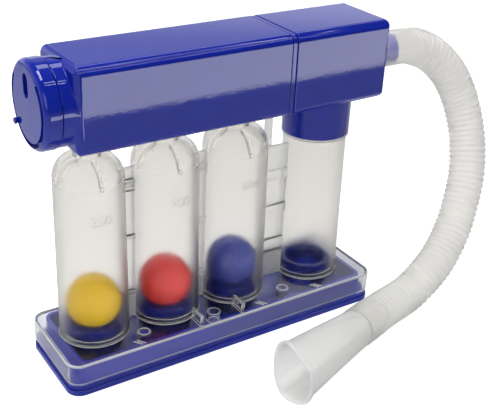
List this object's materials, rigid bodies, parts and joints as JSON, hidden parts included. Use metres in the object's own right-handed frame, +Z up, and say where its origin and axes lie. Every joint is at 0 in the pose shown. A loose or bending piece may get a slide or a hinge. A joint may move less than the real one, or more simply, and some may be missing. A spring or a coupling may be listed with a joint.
{
  "type": "breathing trainer",
  "caption": "Breathing trainer: ball columns on a base tray under a duct with a turning air shutter, ribbed hose and mouthpiece.",
  "frame": {"origin": "centre of the base's underside", "axes": "+X along the base towards the hose port, +Y to the back, +Z up"},
  "size_m": [0.2477, 0.1125, 0.1532],
  "materials": {
    "blue_plastic": "gloss",
    "clear_plastic": "clear gloss",
    "frosted_plastic": "frosted translucent",
    "milky_plastic": "milky translucent",
    "yellow_ball": "satin",
    "red_ball": "satin",
    "blue_ball": "satin"
  },
  "bodies": {
    "trainer": {"base_tray": "blue_plastic", "manifold_cover": "clear_plastic", "column_left": "frosted_plastic", "column_middle": "frosted_plastic", "column_right": "frosted_plastic", "down_column": "frosted_plastic", "web_left": "clear_plastic", "web_middle": "clear_plastic", "web_right": "clear_plastic", "seat_left": "blue_plastic", "seat_middle": "blue_plastic", "seat_right": "blue_plastic", "down_spigot": "blue_plastic", "duct_housing": "blue_plastic", "duct_divider": "blue_plastic", "port_housing": "blue_plastic", "regulator_cap": "blue_plastic", "shutter_retainer": "blue_plastic", "hose_port_cuff": "milky_plastic", "hose": "milky_plastic", "hose_mouth_cuff": "milky_plastic", "mouthpiece": "milky_plastic"},
    "yellow_ball": {"ball_yellow": "yellow_ball"},
    "red_ball": {"ball_red": "red_ball"},
    "blue_ball": {"ball_blue": "blue_ball"},
    "shutter": {"shutter_disc": "blue_plastic"}
  },
  "joints": [
    {"name": "yellow_ball_rise", "type": "slide", "parent": "trainer", "child": "yellow_ball", "axis": [0, 0, 1], "range_m": [0, 0.0599]},
    {"name": "red_ball_rise", "type": "slide", "parent": "trainer", "child": "red_ball", "axis": [0, 0, 1], "range_m": [0, 0.0599]},
    {"name": "blue_ball_rise", "type": "slide", "parent": "trainer", "child": "blue_ball", "axis": [0, 0, 1], "range_m": [0, 0.0599]},
    {"name": "shutter_turn", "type": "hinge", "parent": "trainer", "child": "shutter", "pos_m": [-0.0867, 0, 0.1337], "axis": [1, 0, 0], "range_deg": [-180, 74]}
  ]
}
